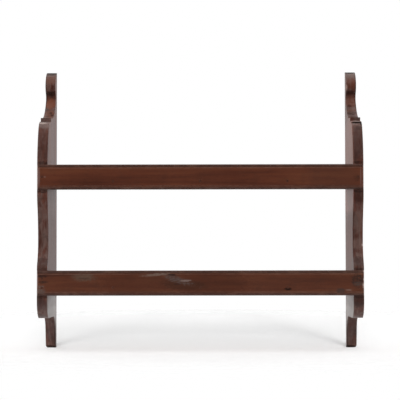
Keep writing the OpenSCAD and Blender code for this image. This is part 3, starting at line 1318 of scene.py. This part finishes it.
@dataclass
class Stoppings:
    """Dished plugs of wax over the nail heads of one rail.

    Args:
        node: CAD node that they stand for.
        rail: Rail that they sit in.
        radius: Radius of a plug.
        thickness: Its thickness.
        sink: How far its middle has shrunk.
        rim: Width of its level rim.
        dish: Width of the slope inside the rim.
        turn: Angle by which each plug is turned against the one before it, in radians.
    """

    node: str
    rail: Rail
    radius: float = 2.3
    thickness: float = 1.2
    sink: float = 0.25
    rim: float = 0.4
    dish: float = 0.9
    turn: float = 0.9

    def _plug(self) -> bpy.types.Object:
        """Models one plug.

        Returns:
            The plug, with its face at y = 0 and looking along -Y.
        """
        clear_selection()
        bpy.ops.mesh.primitive_circle_add(vertices=24, radius=self.radius * MM, fill_type="NGON",
                                          rotation=(math.pi / 2, 0.0, 0.0))
        plug = settle("plug")
        open_up(plug)
        way = (0.0, self.thickness * MM, 0.0)
        bpy.ops.mesh.extrude_region_move(TRANSFORM_OT_translate={"value": way})
        close_up()
        bpy.ops.object.mode_set(mode="EDIT")
        bpy.ops.mesh.select_all(action="DESELECT")
        bpy.ops.object.mode_set(mode="OBJECT")
        for face in plug.data.polygons:
            face.select = face.center.y < 0.01 * MM
        bpy.ops.object.mode_set(mode="EDIT")
        bpy.ops.mesh.select_mode(type="FACE")
        bpy.ops.mesh.inset(thickness=self.rim * MM, depth=0.0)
        bpy.ops.mesh.inset(thickness=self.dish * MM, depth=-self.sink * MM)
        close_up()
        return plug

    def build(self) -> bpy.types.Object:
        """Models one plug and copies it over every nail of the rail.

        Returns:
            All of the rail's plugs in one piece.
        """
        plug = self._plug()
        copies = []
        for index, (x, up) in enumerate(self.rail.nails()):
            made = copy_of(plug, f"plug_{index}")
            made.rotation_euler = (0.0, index * self.turn, 0.0)
            made.location = (x * MM, -RAIL_FRONT * MM, (self.rail.z + up - HANG_Z) * MM)
            copies.append(settle(made.name))
        bpy.data.objects.remove(plug, do_unlink=True)
        take_up(copies[0])
        for made in copies:
            made.select_set(True)
        bpy.ops.object.join()
        return settle(self.node + "_plugs")

    def dress(self, piece: bpy.types.Object, material: bpy.types.Material) -> None:
        """Finishes the plugs and puts them in place of their node."""
        stand_in(piece, self.node, material)


# The studio


# Height and width, in degrees, of the lights that draw the shelf's long, soft shadow on the floor
FLOOR_LIGHTS = ((7.0, 5.0), (8.5, 6.0), (11.0, 8.0), (15.0, 11.0), (22.0, 18.0), (40.0, 34.0), (78.0, 40.0))
# How far each of them is turned to the right, in degrees, and its part of the light at that height
FLOOR_TURNS = ((-4.5, 0.34), (0.5, 0.21), (5.0, 0.45))
# Softboxes that light the shelf: name, place, width and height in metres, and power in watts
SOFTBOXES = (
    ("key", (-0.9, -5.4, 2.9), (3.4, 3.4), 250.0),
    ("left_front", (-2.0, -1.0, 0.1), (1.0, 1.6), 12.0),
    ("right_front", (2.0, -1.0, 0.1), (1.0, 1.6), 12.0),
    ("left_back", (-2.2, 0.9, 0.1), (1.0, 1.6), 55.0),
    ("right_back", (2.2, 0.9, 0.1), (1.0, 1.6), 40.0))
SHELF_MIDDLE = Vector((0.0, -0.08, -0.23))
# Where the floor shows: middle of the patch from front to back, and half its width and depth, in metres
PATCH_Y = 0.6
PATCH_HALF = (0.85, 1.1)
# The camera: its place from the wall and the toes in millimetres, its turns about the upright, about its own
# level and about its line of sight in degrees, its focal length and the picture's width in pixels, and the
# width of its sensor in millimetres
CAMERA_PLACE = (22.0, -2823.3, 185.9)
CAMERA_YAW, CAMERA_PITCH, CAMERA_ROLL = 0.482, 92.02, -0.08
FOCAL_PIXELS = 1450.9
PICTURE_PIXELS = 400
SENSOR_WIDTH = 36.0


class Lit(Enum):
    """What a softbox lights; flags keep its light off everything else."""

    SHELF = "shelf"
    FLOOR = "floor"


@dataclass
class Studio:
    """White studio: floor, lamps, surroundings and the camera.

    Args:
        floor_z: Height of the floor, in metres.
        floor_tone: Part of the light that the floor gives back.
        floor_light: Light that it adds of its own where it is seen.
        ambient: Light from all round, apart from reflections.
        wall: Light that the wall behind the shelf adds to it.
        mirrored_wall: Brightness of that wall in a reflection.
        mirrored_rise: How much brighter it gets upwards in a reflection.
        mirrored_floor: Light that the floor behind the shelf adds in a reflection.
        mirrored_room: Brightness of the dark room behind the camera in a reflection.
        ceiling: Brightness of the ceiling in a reflection.
        floor_share: Part of the floor's full light that the distant lights of one height give.
    """

    floor_z: float = -HANG_Z * MM
    floor_tone: float = 0.9
    floor_light: float = 0.10
    ambient: float = 0.25
    wall: float = 0.8
    mirrored_wall: float = 0.68
    mirrored_rise: float = 1.5
    mirrored_floor: float = 0.7
    mirrored_room: float = 0.03
    ceiling: float = 1.6
    floor_share: float = 0.102

    def floor(self) -> None:
        """Adds the pale floor, which keeps the shelf's shadow and fades into the white around it."""
        clear_selection()
        bpy.ops.mesh.primitive_plane_add(size=7.0, location=(0.0, 0.0, self.floor_z))
        plane = bpy.context.object
        plane.name = "studio_floor"
        bench = NodeBench("studio_floor")
        seen = bench.rays("Is Camera Ray", "Is Glossy Ray", "Is Transmission Ray")
        tone = self.floor_tone
        bench.feed({"Base Color": (tone, tone, tone, 1.0), "Roughness": 1.0, "Specular IOR Level": 0.0,
                    "Emission Color": (1.0, 1.0, 1.0, 1.0), "Emission Strength": seen * self.floor_light})
        x, y, _ = bench.split()
        across, along = x * (1 / PATCH_HALF[0]), (y - PATCH_Y) * (1 / PATCH_HALF[1])
        far = across * across + along * along
        clear = bench.node("ShaderNodeBsdfTransparent")
        mixed = bench.node("ShaderNodeMixShader", {}, {
            0: far.between(0.65, 1.4), 1: bench.surface.outputs[0], 2: clear.outputs[0]})
        bench.tree.links.new(mixed.outputs[0], bench.sink.inputs["Surface"])
        plane.data.materials.append(bench.material)

    def surroundings(self) -> None:
        """Makes the world: white wall behind the shelf, dark room behind the camera, even dim light."""
        bench = NodeBench("white_studio")
        world = bpy.data.worlds.new("white_studio")
        world.use_nodes = True
        bpy.context.scene.world = world
        bpy.data.materials.remove(bench.material)
        bench.tree = world.node_tree
        bench.tree.nodes.clear()
        way = bench.node("ShaderNodeTexCoord").outputs["Generated"]
        parts = bench.node("ShaderNodeSeparateXYZ", {}, {0: way})
        back, up = Value(bench, parts.outputs[1]), Value(bench, parts.outputs[2])
        behind = self.mirrored_wall + up.larger(0.0) * self.mirrored_rise
        behind = behind + up.between(-0.01, -0.03) * self.mirrored_floor
        reflected = self.mirrored_room + back.between(-0.15, 0.5) * behind
        reflected = reflected.larger(up.between(0.45, 1.0) * self.ceiling)
        plain = self.ambient + back.between(0.0, 0.6) * up.between(0.7, 0.2) * self.wall
        glossy = bench.rays("Is Glossy Ray")
        seen = bench.rays("Is Camera Ray", "Is Transmission Ray")
        strength = (plain * (1.0 - glossy) + reflected * glossy) * (1.0 - seen) + seen
        light = bench.node("ShaderNodeBackground", {}, {"Color": (1.0, 1.0, 1.0, 1.0), "Strength": strength})
        bench.node("ShaderNodeOutputWorld", {}, {"Surface": light.outputs[0]})

    def lamp(self, name: str, place: Sequence[float], size: Tuple[float, float], power: float) -> None:
        """Hangs a softbox that lights the shelf and looks at its middle.

        Args:
            name: Name of the lamp.
            place: Its place, in metres.
            size: Its width and height.
            power: Its power in watts.
        """
        data = bpy.data.lights.new(name, "AREA")
        data.shape = "RECTANGLE"
        data.size, data.size_y = size
        data.energy = power
        lamp = bpy.data.objects.new(name, data)
        bpy.context.scene.collection.objects.link(lamp)
        lamp.location = place
        aim = SHELF_MIDDLE - Vector(place)
        lamp.rotation_euler = aim.to_track_quat("-Z", "Y").to_euler()
        lamp.visible_glossy = False
        lamp.light_linking.receiver_collection = bpy.data.collections[Lit.SHELF.value]

    def distant_light(self, name: str, height: float, width: float, turn: float, part: float) -> None:
        """Adds an even, soft light from the front that only the floor receives.

        Args:
            name: Name of the light.
            height: Its height above level, in degrees.
            width: Angle that it spans, in degrees.
            turn: How far it stands to the right of the front, in degrees.
            part: Its part of the light at that height, from 0 to 1.
        """
        data = bpy.data.lights.new(name, "SUN")
        data.energy = part * self.floor_share * math.pi / math.sin(math.radians(height))
        data.angle = math.radians(width)
        light = bpy.data.objects.new(name, data)
        bpy.context.scene.collection.objects.link(light)
        light.rotation_euler = (math.radians(90.0 - height), 0.0, math.radians(turn))
        light.light_linking.receiver_collection = bpy.data.collections[Lit.FLOOR.value]

    def lamps(self) -> None:
        """Hangs the softboxes and sets up the distant lights, each for the shelf or the floor alone."""
        shelf, floor = (bpy.data.collections.new(lit.value) for lit in Lit)
        for piece in bpy.context.scene.objects:
            if piece.type == "MESH":
                (floor if piece.name == "studio_floor" else shelf).objects.link(piece)
        for softbox in SOFTBOXES:
            self.lamp(*softbox)
        for height, width in FLOOR_LIGHTS:
            for turn, part in FLOOR_TURNS:
                self.distant_light(f"floor_light_{height:.0f}", height, width, turn, part)

    def camera(self) -> None:
        """Stands the camera low in front of the shelf, looking slightly up."""
        data = bpy.data.cameras.new("camera")
        data.sensor_width = SENSOR_WIDTH
        data.lens = FOCAL_PIXELS / PICTURE_PIXELS * SENSOR_WIDTH
        data.clip_end = 50.0
        camera = bpy.data.objects.new("camera", data)
        bpy.context.scene.collection.objects.link(camera)
        x, y, z = CAMERA_PLACE
        camera.location = (x * MM, y * MM, (z - HANG_Z) * MM)
        turn = (Euler((0.0, 0.0, math.radians(CAMERA_YAW))).to_matrix()
                @ Euler((math.radians(CAMERA_PITCH), 0.0, 0.0)).to_matrix()
                @ Euler((0.0, 0.0, math.radians(CAMERA_ROLL))).to_matrix())
        camera.rotation_euler = turn.to_euler()
        bpy.context.scene.camera = camera
        bpy.context.scene.view_settings.view_transform = "Standard"

    def set_up(self) -> None:
        """Sets up the whole studio."""
        self.floor()
        self.surroundings()
        self.lamps()
        self.camera()


# Assembly


GREY_SCUFF: Colour = (0.21, 0.15, 0.13)
BLACK_SPOT: Colour = (0.010, 0.006, 0.005)
# Pale colour of wood worn bare; along arrises and rail ends it is also a painted highlight.
BARE_WOOD_AND_HIGHLIGHT: Colour = (0.44, 0.34, 0.30)
# Pale grey of a painted highlight on the rounded ends of the rails.
RAIL_END_HIGHLIGHT: Colour = (0.17, 0.11, 0.10)


def side_wood(name: str, seed: Tuple[float, float, float], x: float, marks: Tuple[Mark, ...]) -> Mahogany:
    """Makes up the finish of a side.

    Args:
        name: Name of the material.
        seed: Offset of its figure.
        x: Middle of the side across the shelf, in millimetres.
        marks: Marks that only this side has.

    Returns:
        The finish, with the marks that both sides have, which are dirt, painted shade, painted shadow and
        painted reflection, and then this side's own marks.
    """
    hand = math.copysign(1, x)
    inner = hand * 281
    outer = hand * 300
    shared = (
        Mark((x, 2, 534), (12, 15, 6.3), BLACK_SPOT, 0.95, ragged=0.6, matt=1.0),
        Mark((hand * 282, 18, 26), (1.8, 14, 40), BLACK_SPOT, 0.55),
        Mark((outer, 20, 490), (2.0, 34, 60), (0.030, 0.011, 0.007), 0.75, ragged=0.8, matt=1.0),
        # Dirt together with painted shade in the hollow under the nose
        Mark((x, 24, 491), (12.5, 11, 5.5), (0.018, 0.007, 0.005), 0.6),
        # Painted shade: darker front of the swell above the upper rail
        Mark((x, 152, 382), (13, 30, 42), (0.034, 0.011, 0.008), 0.36, matt=0.2),
        # Painted shadow: dark lines on the side fronts just above and below each rail
        Mark((x, 160, 349), (12, 9, 3), BLACK_SPOT, 0.6, broken=0.4),
        Mark((x, 160, 296), (12, 9, 3.4), BLACK_SPOT, 0.7, broken=0.4),
        Mark((x, 160, 153), (12, 9, 3), BLACK_SPOT, 0.5, broken=0.4),
        Mark((x, 160, 102), (12, 9, 3), BLACK_SPOT, 0.7, broken=0.4),
        Mark((x, 8, 0), (13, 20, 6), BLACK_SPOT, 0.85, ragged=0.6),
        # Painted reflection: paler, smoother lower inner faces, standing in for the floor they mirror
        Mark((inner, 60, 70), (2, 130, 42), (0.120, 0.088, 0.078), 0.9, ragged=0.5, matt=0.0, polish=0.08),
        Mark((inner, 60, 68), (2, 130, 16), (0.150, 0.118, 0.108), 0.7, ragged=0.5, matt=0.0, polish=0.05),
        # Painted shade: the middle of each inner face darkened and dulled where it mirrors less light
        Mark((inner, 70, 196), (2, 200, 66), (0.062, 0.030, 0.024), 0.3, ragged=0.4, matt=0.5),
        Mark((inner, 0, 260), (4, 7, 400), BLACK_SPOT, 0.6, ragged=0.5))
    return Mahogany(name, Axis.Z, seed, dark=(0.036, 0.011, 0.007), middle=(0.078, 0.024, 0.015),
                    light=(0.118, 0.042, 0.027), gloss=0.46, mottle=0.55, wear=0.25, soil=0.8, bloom=0.66,
                    marks=shared + marks)


LEFT_SIDE_WOOD = side_wood(
    "left_side_mahogany", (0.0, 0.3, 0.1), -290.5,
    (
        Mark((-290, 20, 517), (12, 26, 10), (0.120, 0.049, 0.032), 0.65, matt=0.5),
        Mark((-290, 14, 530.5), (12, 14, 4.5), (0.040, 0.024, 0.020), 0.6, ragged=0.5, matt=0.9),
        Mark((-290, 26, 471), (10, 18, 14), (0.180, 0.052, 0.022), 0.6, matt=0.2),
        Mark((-290, 52, 449), (12, 30, 13), (0.130, 0.046, 0.026), 0.7, matt=0.5),
        Mark((-288, 47, 451), (3.5, 9, 3), (0.030, 0.012, 0.008), 0.7),
        Mark((-284.5, 55, 446), (3.5, 9, 3), (0.030, 0.012, 0.008), 0.8),
        Mark((-293, 60, 443.5), (3, 8, 2), (0.030, 0.012, 0.008), 0.6),
        Mark((-290, 105, 432), (16, 8, 4.5), (0.115, 0.070, 0.061), 0.7, broken=0.5),
        Mark((-290, 122, 427.8), (14, 7, 1.7), (0.05, 0.030, 0.026), 0.85, ragged=0.3),
        # Painted highlight on the top of the round below the step, and a pale line along its edge that is
        # wear together with a painted highlight
        Mark((-290, 136, 420), (12, 10, 8), (0.20, 0.14, 0.125), 0.5),
        Mark((-293, 130, 424.6), (8, 8, 1.5), BARE_WOOD_AND_HIGHLIGHT, 0.95, ragged=0.3, matt=0.3),
        Mark((-290, 150, 256), (12, 24, 13), (0.135, 0.080, 0.066), 0.42, matt=0.2),
        # Painted shade on the swell's front
        Mark((-290, 158, 370), (12, 20, 20), (0.042, 0.013, 0.009), 0.28, matt=0.2),
        Mark((-290, 158, 165), (12, 20, 13), (0.026, 0.011, 0.008), 0.55, matt=0.4),
        Mark((-290, 158, 88), (12, 14, 12), (0.034, 0.018, 0.017), 0.5, matt=0.3),
        Mark((-290, 24, 38), (12, 16, 12), (0.110, 0.058, 0.050), 0.3, matt=0.1)))
RIGHT_SIDE_WOOD = side_wood(
    "right_side_mahogany", (3.7, 1.9, 2.2), 290.5,
    (
        Mark((290, 14, 522), (12, 18, 9), (0.16, 0.11, 0.095), 0.66, broken=0.7),
        Mark((290, 5, 533), (12, 11, 3.5), BLACK_SPOT, 0.95, ragged=0.3, matt=1.0),
        # Painted shade under the right nose
        Mark((290, 22, 486), (12, 12, 6), (0.060, 0.019, 0.012), 0.6, matt=0.5),
        # Painted shade on the swell's front
        Mark((291, 152, 386), (12, 26, 36), (0.040, 0.013, 0.010), 0.5, matt=0.2),
        Mark((290, 26, 508), (12, 18, 12), (0.115, 0.036, 0.022), 0.5, matt=0.3),
        Mark((290, 24, 474), (12, 18, 14), (0.120, 0.038, 0.022), 0.5, matt=0.3),
        Mark((289, 47, 453), (10, 26, 8), (0.140, 0.070, 0.048), 0.5, broken=0.3),
        Mark((290, 50, 450), (12, 18, 5), (0.030, 0.014, 0.010), 0.8, ragged=1.6, broken=0.7),
        Mark((290, 75, 440), (12, 25, 3.4), (0.075, 0.045, 0.034), 0.8),
        # Wear and painted highlights on the ledge's edge and the fillet below the step, and painted shade of
        # a groove and notch under the fillet that the outline doesn't have
        Mark((287, 104, 438.2), (9, 12, 1.5), BARE_WOOD_AND_HIGHLIGHT, 0.9, ragged=0.3, matt=0.3),
        Mark((291, 111, 429.2), (12, 10, 1.8), (0.33, 0.25, 0.22), 0.85, ragged=0.3, matt=0.3),
        Mark((291, 130, 424.6), (14, 11, 2.4), (0.006, 0.003, 0.002), 0.95, ragged=0.2, matt=1.0),
        Mark((299, 133, 422.0), (3, 12, 3), BLACK_SPOT, 0.9),
        # Painted highlight on the inner arris of the neck
        Mark((282.0, 28, 501), (1.6, 14, 6), (0.34, 0.22, 0.19), 0.7, broken=0.3),
        Mark((287, 26, 465.5), (5.0, 12, 4), (0.045, 0.014, 0.009), 0.8),
        Mark((291, 160, 270), (8, 20, 22), (0.055, 0.013, 0.008), 0.45, matt=0.3),
        Mark((291, 147, 238), (10, 20, 24), (0.132, 0.087, 0.074), 0.42, matt=0.2),
        Mark((291, 156, 94), (12, 14, 13), (0.024, 0.011, 0.009), 0.62, matt=0.4),
        Mark((291, 158, 288), (12, 18, 17), (0.018, 0.007, 0.005), 0.55, matt=0.4),
        Mark((291, 150, 199), (12, 24, 13), (0.145, 0.092, 0.079), 0.45, matt=0.2),
        Mark((291, 158, 167), (12, 20, 12), (0.030, 0.014, 0.011), 0.55, matt=0.4),
        # Painted reflection: paler, smoother patches on the right inner face where it mirrors more light
        Mark((281, 60, 286), (2, 140, 30), (0.190, 0.075, 0.058), 0.6, ragged=0.4, matt=0.0, polish=0.045),
        Mark((281, 90, 386), (2, 150, 62), (0.170, 0.070, 0.050), 0.4, ragged=0.4, matt=0.0, polish=0.014),
        Mark((291, 22, 30), (12, 16, 36), (0.040, 0.015, 0.012), 0.4, matt=0.2),
        Mark((299, 150, 197), (2.0, 14, 4), BARE_WOOD_AND_HIGHLIGHT, 0.7)))
UPPER_RAIL_WOOD = Mahogany(
    "upper_rail_mahogany", Axis.X, (1.3, 0.2, 5.1), dark=(0.058, 0.0157, 0.0084),
    middle=(0.092, 0.0248, 0.0118), light=(0.118, 0.036, 0.0162), mottle=0.12, wear=0.12, soil=0.22,
    edges=MouldedEdges(UPPER_RAIL_Z + RAIL_H / 2),
    marks=(
        # Painted highlight on the rounded left end
        Mark((-297, 161, 323), (3.2, 8, 21), RAIL_END_HIGHLIGHT, 0.5, ragged=0.6),
        Mark((245, 163, 322), (56, 20, 34), (0.058, 0.026, 0.019), 0.3),
        Mark((-285.5, 163, 322.5), (2, 20, 2), GREY_SCUFF, 0.3),
        Mark((287, 163, 320), (6, 20, 7), BLACK_SPOT, 0.3, broken=0.6),
        # Painted highlight along the right end's arris
        Mark((294.6, 163, 322), (1.3, 20, 21), RAIL_END_HIGHLIGHT, 0.4, ragged=0.5)))
LOWER_RAIL_WOOD = Mahogany(
    "lower_rail_mahogany", Axis.X, (7.9, 2.2, 0.6), mottle=0.18, wear=0.12, soil=0.22,
    edges=MouldedEdges(LOWER_RAIL_Z + RAIL_H / 2),
    marks=(
        Mark((15, 163, 127), (80, 20, 30), (0.040, 0.012, 0.007), 0.36),
        Mark((-112, 163, 127), (74, 20, 30), (0.050, 0.015, 0.009), 0.42),
        Mark((-30, 163, 124.5), (46, 20, 11), (0.034, 0.015, 0.009), 0.5, -4),
        Mark((-214, 163, 138), (22, 20, 7.5), (0.105, 0.078, 0.058), 0.6, ragged=2.4, broken=0.5),
        Mark((-214, 163, 136), (12, 20, 1.8), (0.040, 0.018, 0.012), 0.5, ragged=1.6),
        Mark((-81, 163, 142.8), (27, 20, 2.6), (0.16, 0.115, 0.095), 0.7, 5, 2.0, 0.5),
        Mark((-50, 163, 137), (14, 20, 6), (0.035, 0.018, 0.015), 0.7, -14, 2.0, 0.5),
        Mark((-40, 163, 133), (28, 20, 6), (0.110, 0.082, 0.074), 0.62, -14, 2.4, 0.8),
        Mark((-27, 163, 132), (11, 20, 1.8), (0.19, 0.135, 0.120), 0.75, 3, 1.5, 0.4),
        Mark((-52, 163, 142.8), (9, 20, 1.7), BLACK_SPOT, 0.75, -3, 0.9, 0.2),
        Mark((-42, 163, 125.5), (7, 20, 1.6), (0.026, 0.012, 0.010), 0.7, 0, 1.4, 0.4),
        Mark((160.5, 163, 116.6), (7.5, 20, 2.8), BLACK_SPOT, 0.95, 0, 0.8, 0.2),
        Mark((257, 163, 113), (9, 20, 5.5), (0.042, 0.030, 0.027), 0.75, 0, 0.9, 0.3),
        Mark((272, 163, 114.5), (6, 20, 1.4), GREY_SCUFF, 0.45),
        Mark((-290, 163, 140), (11, 20, 2.6), (0.020, 0.013, 0.012), 0.8, 0, 1.2, 0.4),
        Mark((-289, 163, 129.5), (10, 20, 2.8), (0.024, 0.015, 0.013), 0.75, 0, 1.2, 0.4),
        Mark((-294, 163, 121), (8, 20, 3), (0.13, 0.10, 0.09), 0.6, 0, 1.4, 0.5),
        Mark((-293, 163, 113), (10, 20, 5), (0.10, 0.080, 0.072), 0.75, 0, 1.4, 0.5),
        # Painted highlight on the rounded left end
        Mark((-299, 160, 133), (2.4, 6, 13), RAIL_END_HIGHLIGHT, 0.6),
        Mark((288, 163, 132), (12, 20, 13), (0.022, 0.017, 0.015), 0.8, 0, 1.6, 0.7),
        Mark((289, 163, 126), (9, 20, 4), (0.085, 0.065, 0.058), 0.5, 0, 1.6, 0.7),
        # Wear together with painted highlights along the right end's arris
        Mark((298.5, 161, 123), (1.8, 7, 5), BARE_WOOD_AND_HIGHLIGHT, 0.75, 0, 1.2, 0.5),
        Mark((299, 161, 134), (1.4, 7, 3), BARE_WOOD_AND_HIGHLIGHT, 0.6, 0, 1.2, 0.5),
        Mark((299, 161, 149.5), (1.8, 7, 2), BARE_WOOD_AND_HIGHLIGHT, 0.6)))


def keep_fittings() -> None:
    """Gives the CAD nodes that stay as they are their metal."""
    brass = AgedBrass().material()
    iron = DarkIron().material()
    for node, material in (("left_hanger_plate", brass), ("right_hanger_plate", brass),
                           ("hanger_screws", brass), ("upper_rail_nails", iron), ("lower_rail_nails", iron)):
        cover_with(frame["nodes"][node], material)
        LOG.info("%s keeps its CAD shape", node)


def main() -> None:
    """Builds and dresses the shelf, then sets up the studio."""
    logging.basicConfig(level=logging.INFO, format="%(name)s: %(message)s")
    sides = Sides()
    boards = sides.build()
    sides.dress(boards)
    LOG.info("sides: %s", ", ".join(f"{b.name} {len(b.data.polygons)} faces" for b in boards))
    wax = StoppingWax().material()
    for rail, stopping in (
            (Rail("upper_rail", UPPER_RAIL_Z, (23.0,), UPPER_RAIL_WOOD), "upper_rail_stopping"),
            (Rail("lower_rail", LOWER_RAIL_Z, (14.5, 31.5), LOWER_RAIL_WOOD), "lower_rail_stopping")):
        piece = rail.build()
        rail.dress(piece)
        LOG.info("%s: %d faces", piece.name, len(piece.data.polygons))
        plugs = Stoppings(stopping, rail)
        made = plugs.build()
        plugs.dress(made, wax)
        LOG.info("%s: %d faces", made.name, len(made.data.polygons))
    for shelf in (Shelf("upper_shelf", UPPER_RAIL_Z + SHELF_LIFT, (2.2, 4.0, 1.0)),
                  Shelf("lower_shelf", LOWER_RAIL_Z + SHELF_LIFT, (5.5, 0.7, 3.0))):
        board = shelf.build()
        shelf.dress(board)
        LOG.info("%s: %d faces", board.name, len(board.data.polygons))
    keep_fittings()
    Studio().set_up()


if __name__ == "__main__":
    main()
